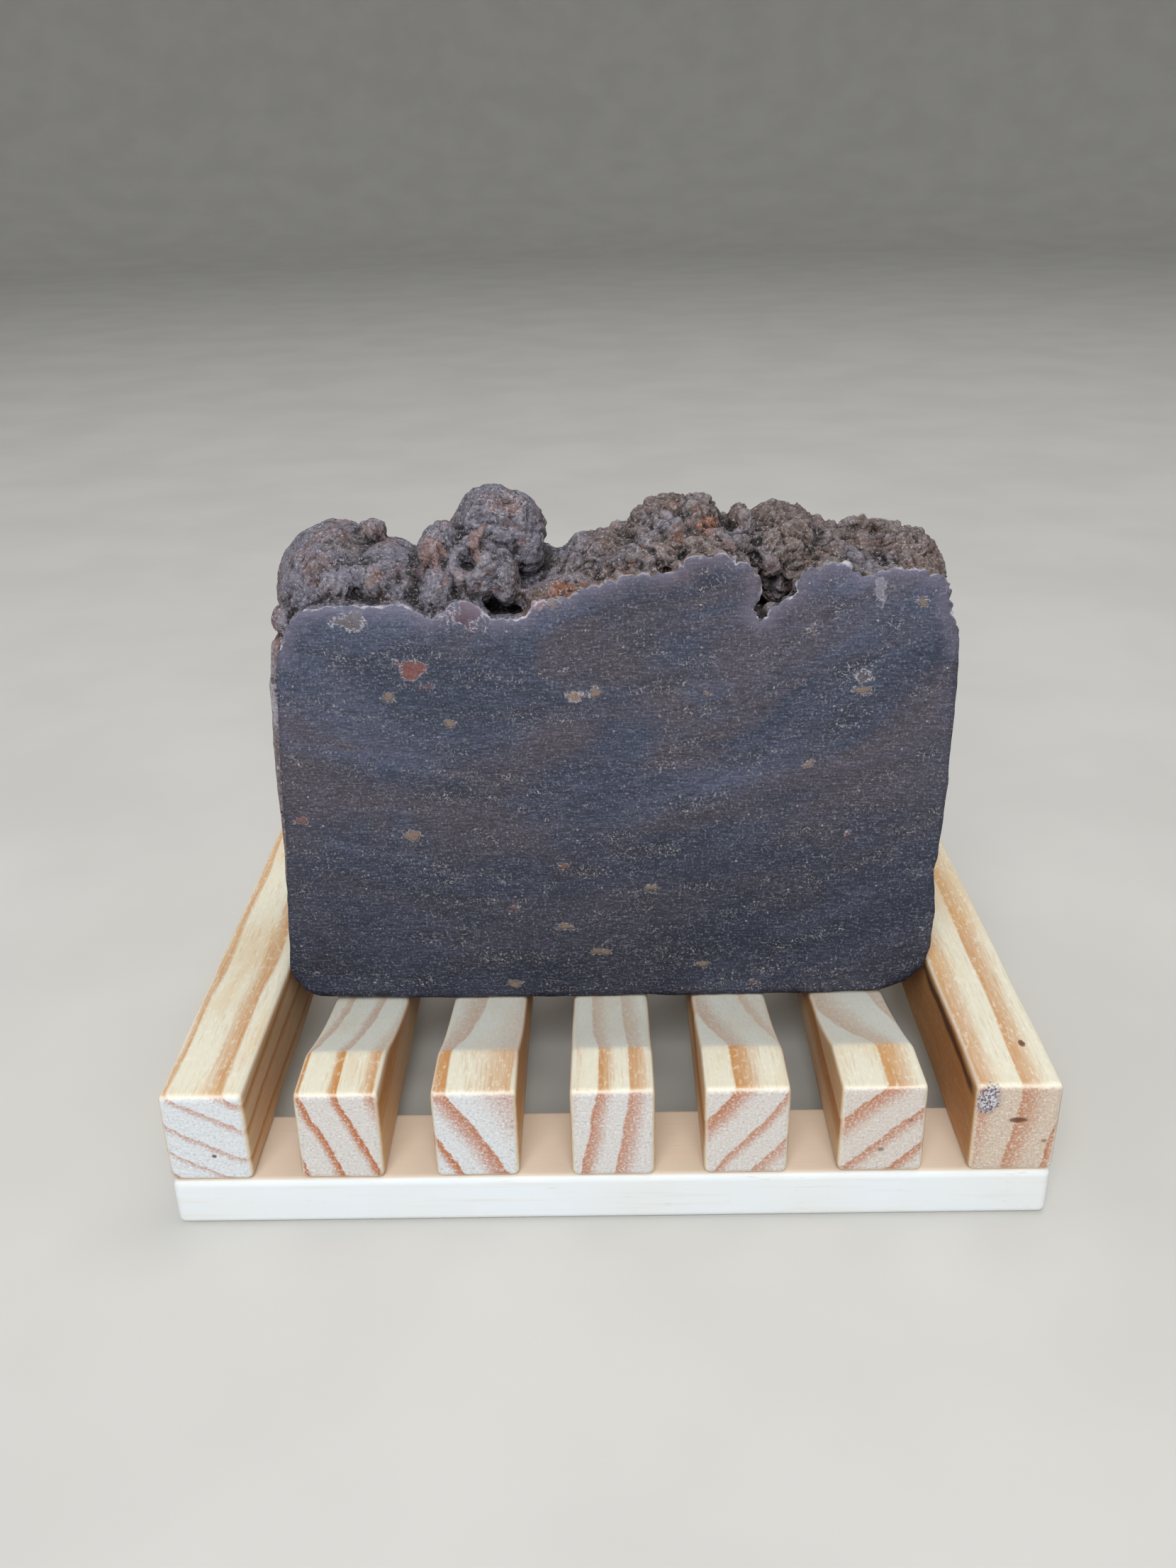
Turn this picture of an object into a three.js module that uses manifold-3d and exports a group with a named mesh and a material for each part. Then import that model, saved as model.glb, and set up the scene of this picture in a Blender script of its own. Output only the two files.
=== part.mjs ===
// Slatted wooden soap dish with a loaf-cut bar of soap standing in its cradle.
//
// Frame: millimetres, +X along the rails, +Y from the front to the back, +Z up. The origin is on the
// table under the middle of the dish.
//
// Seven pine slats run from front to back on two rails. The five middle slats are scooped, so that
// the bar stands in a shallow trough between the two outer slats, which are left straight. Each slat
// is held to each rail by one wire staple, driven from underneath.
import * as THREE from "three";
import { mergeVertices } from "three/addons/utils/BufferGeometryUtils.js";
import Module from "manifold-3d";

// ---- Driving dimensions ---------------------------------------------------------------------

// The dish
const DISH_WIDTH = 110; // over the two outer slats
const DISH_DEPTH = 80; // the length of a slat
const SLAT_COUNT = 7;
const SLAT_WIDTH = 10.5;
const SLAT_HEIGHT = 12.8;
const SLAT_CORNER = 1.0; // rounding of the slat's ends
const SLAT_EASE = 0.7; // rounding of its long edges
const RAIL_DEPTH = 13.2;
const RAIL_HEIGHT = 6.9;
const RAIL_CORNER = 1.3; // rounding of the rail's ends
const RAIL_EASE = 0.5; // rounding of its long edges
const PART_GAP = 0.3; // clearance between pieces that touch

// The scoop in the middle slats
const LIP = 9; // flat left at each end of a scooped slat
const SCOOP_DEPTH = 6.2;
const SCOOP_STEPS = 22; // straight steps along the arc

// How far each slat was set off its even place, from the left one to the right one
const SLAT_DRIFT = [0, -0.1, 0.2, 0.5, 0.4, 0.4, 0];

// The staples: flat wire, one crown and two pointed legs
const STAPLE_CROWN = 5.7; // over both legs
const STAPLE_LEG = 14;
const STAPLE_WIRE = 1.0; // thickness seen from the front
const STAPLE_WIRE_WIDTH = 1.25;
const STAPLE_POINT = 1.2;
const STAPLE_RECESS = 0.4; // how deep the crown is driven below the rail's underside

// The bar of soap
const SOAP_THICKNESS = 24; // between its two cut faces
const SOAP_HEIGHT = 58; // of the cut face, at its left end
const SOAP_CORNER = 4.5; // worn rounding of its bottom corners
const SOAP_EASE = 0.8; // worn edge of the cut faces

// Sides of the bar, as [how far inside the fitted width, height above its base]
const SOAP_LEFT_SIDE = [
  [0.8, 17],
  [1.6, 30],
  [2.0, 43],
  [2.7, 51],
];
const SOAP_RIGHT_SIDE = [
  [-0.8, 12],
  [-0.1, 19],
  [-0.8, 30],
  [-0.8, 48],
  [-0.3, 54],
];

// Torn top edge of the bar, as [share of the width from the left, rise above the left end]
const SOAP_TOP_EDGE = [
  [0.06, -3.4],
  [0.09, -0.6],
  [0.16, 0],
  [0.22, -0.2],
  [0.26, -2.1],
  [0.3, 0.2],
  [0.34, -2.2],
  [0.39, -1.9],
  [0.41, 0],
  [0.48, 1.4],
  [0.55, 3.4],
  [0.59, 2.8],
  [0.63, 5],
  [0.68, 5.2],
  [0.72, 2.3],
  [0.73, -1.6],
  [0.77, -0.1],
  [0.785, 3.1],
  [0.84, 4.3],
  [0.88, 2.9],
  [0.96, 2.6],
  [0.99, -0.3],
];

// Lumps on top of the bar: share of the width, place across the thickness, rise of the centre above
// the cut face's left end, and the three radii
const SOAP_LUMPS = [
  { at: 0.12, y: 0.5, rise: -2, radii: [8.4, 10.5, 9.8] }, // big left curl
  { at: 0.18, y: 0, rise: -1, radii: [5.6, 9.5, 7.4] },
  { at: 0.27, y: 0, rise: 0, radii: [5.2, 9, 7.4] }, // small curl
  { at: 0.355, y: -1.5, rise: 5, radii: [6.4, 6.5, 6.9] }, // tall ball
  { at: 0.49, y: 1.5, rise: 0, radii: [11, 9.5, 4.4] }, // saddle
  { at: 0.62, y: 1, rise: 2, radii: [7, 10, 8] }, // high ridge
  { at: 0.73, y: 2, rise: 1.5, radii: [6.5, 9, 7.6] },
  { at: 0.81, y: 2.5, rise: 0, radii: [8, 8.5, 5.6] },
  { at: 0.93, y: 0, rise: -1.5, radii: [5.8, 11, 6.7] }, // right shoulder
];
const LUMP_SEGMENTS = 18;

// Finish of each kind of piece
const FINISH = {
  slat: { color: 0xdcb98a, roughness: 0.7, metalness: 0 },
  rail: { color: 0xeee0c4, roughness: 0.75, metalness: 0 },
  staple: { color: 0xa7a9ab, roughness: 0.35, metalness: 1 },
  soap: { color: 0x454350, roughness: 0.6, metalness: 0 },
};

// ---- Values that follow from them -----------------------------------------------------------

const SLAT_PITCH = (DISH_WIDTH - SLAT_WIDTH) / (SLAT_COUNT - 1);
const SLAT_BASE = RAIL_HEIGHT + PART_GAP;
const DISH_TOP = SLAT_BASE + SLAT_HEIGHT;
const SCOOP_HALF = DISH_DEPTH / 2 - LIP;
const SCOOP_RADIUS = (SCOOP_HALF ** 2 + SCOOP_DEPTH ** 2) / (2 * SCOOP_DEPTH);
const STAPLE_Y = (DISH_DEPTH - LIP) / 2; // in the middle of the lip, where a slat is full height

const scoopDrop = (y) => Math.sqrt(SCOOP_RADIUS ** 2 - y ** 2) - SCOOP_RADIUS + SCOOP_DEPTH;
const slatX = (index) => (index - (SLAT_COUNT - 1) / 2) * SLAT_PITCH + SLAT_DRIFT[index];
const isOuter = (index) => index === 0 || index === SLAT_COUNT - 1;

// The bar is as wide as the trough between the outer slats lets it be, and it stands on the scoop
// with its front and rear bottom edges.
const SOAP_HALF = DISH_WIDTH / 2 - SLAT_WIDTH - PART_GAP;
const SOAP_BASE = DISH_TOP - scoopDrop(SOAP_THICKNESS / 2) + PART_GAP;

// ---- Joining and cutting --------------------------------------------------------------------

const wasm = await Module();
wasm.setup();

function toSolid(geometry) {
  const bare = geometry.clone();
  bare.deleteAttribute("normal");
  bare.deleteAttribute("uv");
  const merged = mergeVertices(bare, 1e-4);
  return new wasm.Manifold(
    new wasm.Mesh({
      numProp: 3,
      vertProperties: merged.getAttribute("position").array,
      triVerts: new Uint32Array(merged.index.array),
    }),
  );
}

function toGeometry(solid) {
  const mesh = solid.getMesh();
  const shared = new THREE.BufferGeometry();
  shared.setAttribute("position", new THREE.BufferAttribute(mesh.vertProperties, mesh.numProp));
  shared.setIndex(new THREE.BufferAttribute(mesh.triVerts, 1));
  const faceted = shared.toNonIndexed();
  faceted.computeVertexNormals();
  return faceted;
}

// ---- Extrusions -----------------------------------------------------------------------------

// Extrudes an outline to a full length, bevels included, and centres it on the outline's plane.
function extrude(shape, length, ease = 0) {
  const geometry = new THREE.ExtrudeGeometry(shape, {
    depth: length - 2 * ease,
    curveSegments: 2,
    bevelEnabled: ease > 0,
    bevelThickness: ease,
    bevelSize: ease,
    bevelOffset: -ease,
    bevelSegments: 2,
  });
  return geometry.translate(0, 0, ease - length / 2);
}

// An outline drawn in X and Z, extruded along Y.
function extrudeAlongY(shape, length, ease) {
  return extrude(shape, length, ease).rotateX(Math.PI / 2);
}

// An outline drawn in Y and Z, extruded along X.
function extrudeAlongX(shape, length, ease) {
  return extrudeAlongY(shape, length, ease).rotateZ(Math.PI / 2);
}

// A box outline with rounded corners; the corner points of its top edge may be joined by more points.
function roundedOutline(width, height, corner, top = []) {
  const right = width / 2 - corner;
  const shape = new THREE.Shape();
  shape.moveTo(-right, 0);
  shape.absarc(right, corner, corner, -Math.PI / 2, 0);
  shape.absarc(right, height - corner, corner, 0, Math.PI / 2);
  top.forEach(([x, y]) => shape.lineTo(x, y));
  shape.absarc(-right, height - corner, corner, Math.PI / 2, Math.PI);
  shape.absarc(-right, corner, corner, Math.PI, 1.5 * Math.PI);
  return shape;
}

// ---- Staples --------------------------------------------------------------------------------

// A staple's outline seen from the front. With a clearance it is the outline of the slot that the
// staple was driven into, which is open at the rail's underside.
function stapleOutline(clearance) {
  const outer = STAPLE_CROWN / 2 + clearance;
  const inner = STAPLE_CROWN / 2 - STAPLE_WIRE - clearance;
  const bottom = clearance > 0 ? -1 : STAPLE_RECESS;
  const crownTop = STAPLE_RECESS + STAPLE_WIRE + clearance;
  const tip = STAPLE_RECESS + STAPLE_LEG + clearance;
  const shoulder = tip - STAPLE_POINT;
  const middle = (outer + inner) / 2;
  return new THREE.Shape(
    [
      [-outer, bottom],
      [outer, bottom],
      [outer, shoulder],
      [middle, tip],
      [inner, shoulder],
      [inner, crownTop],
      [-inner, crownTop],
      [-inner, shoulder],
      [-middle, tip],
      [-outer, shoulder],
    ].map(([x, z]) => new THREE.Vector2(x, z)),
  );
}

const stapleGeometry = () => extrudeAlongY(stapleOutline(0), STAPLE_WIRE_WIDTH);

// The slots of all the staples at one end of the dish.
function stapleSlots(y) {
  const slots = [];
  for (let index = 0; index < SLAT_COUNT; index++) {
    const slot = extrudeAlongY(stapleOutline(PART_GAP), STAPLE_WIRE_WIDTH + 2 * PART_GAP);
    slots.push(toSolid(slot.translate(slatX(index), y, 0)));
  }
  return slots;
}

const frontSlots = stapleSlots(-STAPLE_Y);
const rearSlots = stapleSlots(STAPLE_Y);

// ---- Slats and rails ------------------------------------------------------------------------

function slatOutline(scooped) {
  const scoop = [];
  for (let step = 0; scooped && step <= SCOOP_STEPS; step++) {
    const y = SCOOP_HALF * (1 - (2 * step) / SCOOP_STEPS);
    scoop.push([y, SLAT_HEIGHT - scoopDrop(y)]);
  }
  return roundedOutline(DISH_DEPTH, SLAT_HEIGHT, SLAT_CORNER, scoop);
}

function slatGeometry(index) {
  const bar = extrudeAlongX(slatOutline(!isOuter(index)), SLAT_WIDTH, SLAT_EASE);
  return toGeometry(
    toSolid(bar.translate(slatX(index), 0, SLAT_BASE))
      .subtract(frontSlots[index])
      .subtract(rearSlots[index]),
  );
}

function railGeometry(side, slots) {
  const outline = roundedOutline(DISH_WIDTH, RAIL_HEIGHT, RAIL_CORNER);
  const bar = extrudeAlongY(outline, RAIL_DEPTH, RAIL_EASE);
  const place = (side * (DISH_DEPTH - RAIL_DEPTH)) / 2;
  return toGeometry(
    slots.reduce((rail, slot) => rail.subtract(slot), toSolid(bar.translate(0, place, 0))),
  );
}

// ---- Soap -----------------------------------------------------------------------------------

const soapX = (share) => SOAP_HALF * (2 * share - 1);

// The cut face: straight and fitted between the outer slats below their tops, free above them.
function soapOutline() {
  const clear = DISH_TOP + 1;
  const inner = SOAP_HALF - SOAP_CORNER;
  const shape = new THREE.Shape();
  shape.moveTo(-inner, SOAP_BASE);
  shape.absarc(inner, SOAP_BASE + SOAP_CORNER, SOAP_CORNER, -Math.PI / 2, 0);
  shape.lineTo(SOAP_HALF, clear);
  SOAP_RIGHT_SIDE.forEach(([inset, height]) => shape.lineTo(SOAP_HALF - inset, SOAP_BASE + height));
  SOAP_TOP_EDGE.toReversed().forEach(([share, rise]) =>
    shape.lineTo(soapX(share), SOAP_BASE + SOAP_HEIGHT + rise),
  );
  SOAP_LEFT_SIDE.toReversed().forEach(([inset, height]) =>
    shape.lineTo(inset - SOAP_HALF, SOAP_BASE + height),
  );
  shape.lineTo(-SOAP_HALF, clear);
  shape.absarc(-inner, SOAP_BASE + SOAP_CORNER, SOAP_CORNER, Math.PI, 1.5 * Math.PI);
  return shape;
}

function lumpSolid({ at, y, rise, radii }) {
  const ball = new THREE.SphereGeometry(1, LUMP_SEGMENTS, Math.round(LUMP_SEGMENTS * 0.6));
  return toSolid(
    ball.scale(...radii).translate(soapX(at), y, SOAP_BASE + SOAP_HEIGHT + rise),
  );
}

function soapGeometry() {
  const bar = toSolid(extrudeAlongY(soapOutline(), SOAP_THICKNESS, SOAP_EASE));
  return toGeometry(SOAP_LUMPS.map(lumpSolid).reduce((whole, lump) => whole.add(lump), bar));
}

// ---- Assembly -------------------------------------------------------------------------------

function piece(name, geometry, finish) {
  const mesh = new THREE.Mesh(geometry, new THREE.MeshStandardMaterial(finish));
  mesh.name = name;
  return mesh;
}

function slatName(index) {
  if (index === 0) return "slat_outer_left";
  return isOuter(index) ? "slat_outer_right" : `slat_scooped_${index}`;
}

const dish = new THREE.Group();
for (let index = 0; index < SLAT_COUNT; index++)
  dish.add(piece(slatName(index), slatGeometry(index), FINISH.slat));
dish.add(piece("rail_front", railGeometry(-1, frontSlots), FINISH.rail));
dish.add(piece("rail_rear", railGeometry(1, rearSlots), FINISH.rail));
for (const [end, y] of [
  ["front", -STAPLE_Y],
  ["rear", STAPLE_Y],
])
  for (let index = 0; index < SLAT_COUNT; index++) {
    const staple = piece(`staple_${end}_${index + 1}`, stapleGeometry(), FINISH.staple);
    staple.position.set(slatX(index), y, 0);
    dish.add(staple);
  }

const object = new THREE.Group();
object.add(dish, piece("soap_bar", soapGeometry(), FINISH.soap));

export default object;
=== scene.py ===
# %% [markdown]
# # A slatted pine soap dish with a loaf-cut bar on it
#
# The object is a small bathroom dish: seven pine slats stapled across two pale
# rails, with a standing bar of handmade soap that drains between the slats.
# The CAD model already says where everything is, so this lesson only makes the
# looks: softened edges on the wood, growth rings that run right through each
# slat, and a bar whose crown is a crust of folded, torn soap.
#
# The first step is to load that frame. Its box is kept, because every new piece
# is placed by it.

# %% Load the frame
import math

import bmesh
import bpy
import numpy as np
from mathutils import Matrix, Vector, noise
from mathutils.geometry import delaunay_2d_cdt
from mathutils.kdtree import KDTree


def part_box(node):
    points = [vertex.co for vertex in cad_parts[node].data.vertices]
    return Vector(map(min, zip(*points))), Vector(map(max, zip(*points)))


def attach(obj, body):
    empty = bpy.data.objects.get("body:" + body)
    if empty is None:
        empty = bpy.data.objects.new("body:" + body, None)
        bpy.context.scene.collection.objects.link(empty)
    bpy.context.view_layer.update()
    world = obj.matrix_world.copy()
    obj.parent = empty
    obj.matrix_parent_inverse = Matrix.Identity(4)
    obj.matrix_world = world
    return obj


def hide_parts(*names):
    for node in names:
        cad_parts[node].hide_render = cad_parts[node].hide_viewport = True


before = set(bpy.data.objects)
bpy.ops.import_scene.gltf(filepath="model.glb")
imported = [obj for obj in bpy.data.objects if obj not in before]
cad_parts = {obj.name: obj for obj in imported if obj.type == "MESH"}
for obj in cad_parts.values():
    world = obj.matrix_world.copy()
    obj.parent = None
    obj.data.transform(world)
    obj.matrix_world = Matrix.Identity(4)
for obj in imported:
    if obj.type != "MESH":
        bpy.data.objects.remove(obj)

MM = 0.001
noise.seed_set(7)  # the vector noise is seeded by the clock unless it is told otherwise
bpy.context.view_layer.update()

# %% [markdown]
# ## The camera
#
# A camera is three turns and a place. Starting from a camera that looks straight
# down, it is rolled a little, tipped up until it looks ahead and down at the
# dish, and swung a degree to the left. There is no lens shift and no depth of
# field, so every other view of the model stays just as sharp. The plain view
# transform shows each painted colour as it was mixed, without a film look.

# %% Camera
CAMERA_SPOT = Vector((0.70, -174.12, 123.84)) * MM
SWING, TIP, ROLL = (math.radians(a) for a in (-0.935, 25.09, -1.400))
LENS, SENSOR = 31.47, 36.0

camera = bpy.data.objects.new("camera", bpy.data.cameras.new("camera"))
bpy.context.scene.collection.objects.link(camera)
bpy.context.scene.camera = camera
camera.data.lens = LENS
camera.data.sensor_width = SENSOR
camera.data.clip_start = 0.01
camera.matrix_world = (
    Matrix.Translation(CAMERA_SPOT)
    @ Matrix.Rotation(-SWING, 4, "Z")
    @ Matrix.Rotation(math.pi / 2 - TIP, 4, "X")
    @ Matrix.Rotation(ROLL, 4, "Z")
)
bpy.context.scene.view_settings.view_transform = "Standard"
print("camera at", [round(v / MM, 1) for v in camera.matrix_world.translation])

# %% [markdown]
# ## A small language for finishes
#
# `Wire` stands for one number that flows through a finish, and the usual signs
# work on it, so `1 - mask * 0.5` adds the two Math nodes by itself.
# `Finish` holds the material. All of its other nodes come from one method,
# `node`, which sets the node's own choices first and then its sockets, and the
# short methods under it only give names to the few nodes that wood and soap use.
# Colours are written as a screen shows them, and lengths are in millimetres.

# %% Wire: one number in a finish
class Wire:
    def __init__(self, finish, socket):
        self.finish, self.socket = finish, socket

    def _maths(self, operation, *values):
        return self.finish.node("ShaderNodeMath", {"operation": operation},
                                dict(enumerate(values)))

    def __add__(self, other):
        return self._maths("ADD", self, other)

    def __sub__(self, other):
        return self._maths("SUBTRACT", self, other)

    def __rsub__(self, other):
        return self._maths("SUBTRACT", other, self)

    def __mul__(self, other):
        return self._maths("MULTIPLY", self, other)

    def __truediv__(self, other):
        return self._maths("DIVIDE", self, other)

    def __pow__(self, other):
        return self._maths("POWER", self, other)

    __radd__, __rmul__ = __add__, __mul__

    def size(self):
        return self._maths("ABSOLUTE", self)

    def most(self, other):
        return self._maths("MAXIMUM", self, other)


# %% Finish: a material and its nodes
def paint(red, green, blue):
    """A colour as a screen shows it, 0 to 255, turned into light."""
    def light(v):
        v /= 255
        return v / 12.92 if v <= 0.04045 else ((v + 0.055) / 1.055) ** 2.4
    return (light(red), light(green), light(blue), 1.0)


class Finish:
    def __init__(self, name):
        self.material = bpy.data.materials.new(name)
        self.material.use_nodes = True
        self.tree = self.material.node_tree
        self.tree.nodes.clear()
        self.texture = self.node("ShaderNodeTexCoord", out="Object")
        self.facing = self.node("ShaderNodeTexCoord", out="Normal")
        self.spot = self.stretch(scale=(1 / MM,) * 3)

    def node(self, kind, settings=None, sockets=None, out=0):
        made = self.tree.nodes.new(kind)
        for key, value in (settings or {}).items():
            if key == "stops":
                ramp = made.color_ramp.elements
                while len(ramp) > 1:
                    ramp.remove(ramp[0])
                for index, (place, colour) in enumerate(value):
                    stop = ramp[0] if index == 0 else ramp.new(place)
                    stop.position, stop.color = place, colour
            else:
                setattr(made, key, value)
        for key, value in (sockets or {}).items():
            if isinstance(value, Wire):
                self.tree.links.new(value.socket, made.inputs[key])
            else:
                made.inputs[key].default_value = value
        return Wire(self, made.outputs[out])

    def stretch(self, source=None, move=(0, 0, 0), turn=(0, 0, 0), scale=(1, 1, 1)):
        turned = tuple(math.radians(a) for a in turn)
        return self.node("ShaderNodeMapping", None, {
            "Vector": source or self.texture, "Location": move, "Rotation": turned,
            "Scale": scale})

    def cloud(self, place, scale, detail=2.0, rough=0.5, twist=0.0):
        return self.node("ShaderNodeTexNoise", None, {
            "Vector": place, "Scale": scale, "Detail": detail, "Roughness": rough,
            "Distortion": twist})

    def streaks(self, place, squeeze, detail=2.0, rough=0.5, twist=0.0):
        """A cloud drawn out along an axis: small numbers make it long that way."""
        return self.cloud(self.stretch(place, scale=squeeze), 1.0, detail, rough, twist)

    def warp(self, place, scale, amount):
        """Pushes a place about with a noise, so that round things stop being round."""
        push = self.node("ShaderNodeTexNoise", None,
                         {"Vector": place, "Scale": scale, "Detail": 2.0}, "Color")
        return self.node("ShaderNodeVectorMath", {"operation": "MULTIPLY_ADD"},
                         {0: push, 1: (amount,) * 3, 2: place})

    def near(self, middle, half):
        """0 at a middle and 1 on the skin of an egg of those half sizes round it."""
        scale = tuple(1 / h for h in half)
        shift = tuple(-m * k for m, k in zip(middle, scale))
        moved = self.stretch(self.spot, move=shift, scale=scale)
        return self.node("ShaderNodeVectorMath", {"operation": "LENGTH"}, {0: moved}, "Value")

    def cells(self, place, scale, out="Distance"):
        return self.node("ShaderNodeTexVoronoi", None, {"Vector": place, "Scale": scale}, out)

    def ease(self, value, low, high, to_low=0.0, to_high=1.0):
        """From to_low softly to to_high while the value goes from low to high."""
        return self.node("ShaderNodeMapRange", {"interpolation_type": "SMOOTHSTEP"}, {
            "Value": value, "From Min": low, "From Max": high,
            "To Min": to_low, "To Max": to_high})

    def ramp(self, value, stops):
        return self.node("ShaderNodeValToRGB", {"stops": stops}, {"Fac": value})

    def mix(self, share, first, second):
        return self.node("ShaderNodeMix", {"data_type": "RGBA"},
                         {0: share, 6: first, 7: second}, 2)

    def axes(self, vector):
        made = self.node("ShaderNodeSeparateXYZ", None, {0: vector}).socket.node
        return [Wire(self, socket) for socket in made.outputs]

    def attribute(self, name):
        return self.node("ShaderNodeAttribute", {"attribute_name": name}, None, "Fac")

    def bump(self, height, depth, strength):
        return self.node("ShaderNodeBump", None, {
            "Height": height, "Distance": depth * MM, "Strength": strength})

    def shade(self, **sockets):
        """Ends the finish with its one shader. Names use _ for a space."""
        shader = self.node("ShaderNodeBsdfPrincipled", None,
                           {key.replace("_", " "): value for key, value in sockets.items()})
        end = self.tree.nodes.new("ShaderNodeOutputMaterial")
        self.tree.links.new(shader.socket, end.inputs["Surface"])
        print("finish", self.material.name, "with", len(self.tree.nodes), "nodes")
        return self.material


# %% [markdown]
# ## Setting a piece down
#
# Every finished mesh goes through the same steps: it becomes an object at the
# origin, it is told which body it rides on, and the CAD nodes it stands for are
# hidden. Sawn and sanded wood has broad flats with narrow rounded edges, so a
# weighted-normal modifier keeps the flats flat in the light while the edges stay
# smooth.

# %% Making an object from a mesh
BROAD_FIRST = 60  # how strongly a broad face rules the light on its corners
SHARP = 0.6  # two faces meet in a corner beyond this many radians


def make_object(name, bm, finishes=()):
    mesh = bpy.data.meshes.new(name)
    bm.to_mesh(mesh)
    bm.free()
    for finish in finishes:
        mesh.materials.append(finish)
    mesh.polygons.foreach_set("use_smooth", [True] * len(mesh.polygons))
    made = bpy.data.objects.new(name, mesh)
    bpy.context.scene.collection.objects.link(made)
    print(name, len(mesh.vertices), "vertices,", len(mesh.polygons), "faces")
    return made


def set_down(name, bm, finishes, body, stands_for, weighted=True):
    piece = make_object(name, bm, finishes)
    if weighted:
        steady = piece.modifiers.new("flats", "WEIGHTED_NORMAL")
        steady.weight = BROAD_FIRST
    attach(piece, body)
    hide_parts(*stands_for)


def cut_across(bm, place, direction):
    bmesh.ops.bisect_plane(bm, geom=bm.verts[:] + bm.edges[:] + bm.faces[:],
                           plane_co=place, plane_no=direction, dist=1e-7)


def corners_of(bm):
    return [e for e in bm.edges if len(e.link_faces) == 2 and e.calc_face_angle() > SHARP]


def block(low, high):
    """A plain box between two corners."""
    bm = bmesh.new()
    bmesh.ops.create_cube(bm, size=1)
    bmesh.ops.scale(bm, vec=high - low, verts=bm.verts)
    bmesh.ops.translate(bm, vec=(high + low) / 2, verts=bm.verts)
    return bm


def unsettle(bm, low, high, amount, span, seed):
    """Moves vertices a little with a slow noise, and never outside the box."""
    shift = Vector((seed * 7.3, seed * 3.1, seed * 5.7))
    for v in bm.verts:
        v.co += noise.noise_vector(v.co / span + shift) * amount
        v.co = Vector(max(a, min(b, c)) for a, b, c in zip(low, high, v.co))


# %% [markdown]
# ## Pine that is one solid block
#
# Growth rings are not a picture on the surface: they are shells round the pith
# of a tree, and a slat is a stick cut out of them. So the finish measures how
# far a point is across the rings, in the slat's own cross-section, and one
# colour ramp along that distance gives the stripes on the top, the bands on
# the end and the same bands running down the sides, always in agreement. Late
# wood starts softly and stops sharply, as it does in pine.
#
# End grain drinks light and frays, so where a face looks along the grain it is
# whitened and speckled. The hollow of the scoop is a little greyer: partly soap
# residue, partly painted shade from the bar and the slope. The sides are painted
# a darker orange, partly their own sawn tone and partly painted shade and warm
# bounce light from between the slats, and the rounded edges are painted a
# lighter cream as a painted highlight.

# %% Colours of the pine
EARLY_WOOD = paint(227, 220, 199)
LATE_WOOD = paint(194, 134, 74)
END_EARLY = paint(220, 223, 227)
END_WARM = paint(206, 178, 150)
END_LATE = paint(184, 108, 58)
# The side colours carry painted shade and warm bounce light as well as the sawn tone, the scoop
# grey is partly painted shade, and the edge cream is a painted highlight.
FLANK_TONE_AND_SHADE = paint(206, 148, 82)
FLANK_LATE_TONE_AND_SHADE = paint(170, 108, 52)
SCOOP_RESIDUE_AND_SHADE = paint(206, 212, 212)
EDGE_HIGHLIGHT_CREAM = paint(246, 240, 224)
RESIN = paint(92, 50, 30)


def ring_stops(bands, half):
    """Ramp stops across a slat: each band is a place, a width and a strength
    in millimetres from the middle, soft on its lower side and sharp on the
    other."""
    def grey(v):
        return (v, v, v, 1)

    stops = [(0.0, grey(0.08))]
    for place, width, strength in sorted(bands):
        start, end = ((place + side * width / 2 + half) / (2 * half) for side in (-1, 1))
        soft, sharp = 0.5 * width / (2 * half), 0.14 / (2 * half)
        stops += [(max(stops[-1][0] + 1e-3, start - 0.3 * soft), grey(0.03)),
                  (start + soft, grey(strength * 0.75)),
                  (end - sharp, grey(strength)), (end + sharp, grey(0.0))]
    return [s for s in stops if s[0] <= 1][:31]


# %% The pine finish
RING_REACH = 9.0  # the ramp runs this far to each side of a slat's middle
SCOOP_END = 31.0
SEAM_DROP = 1.9  # the dark seam, below the last slat's top
KNOT_HALF = (1.5, 2.0, 2.3)


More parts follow.
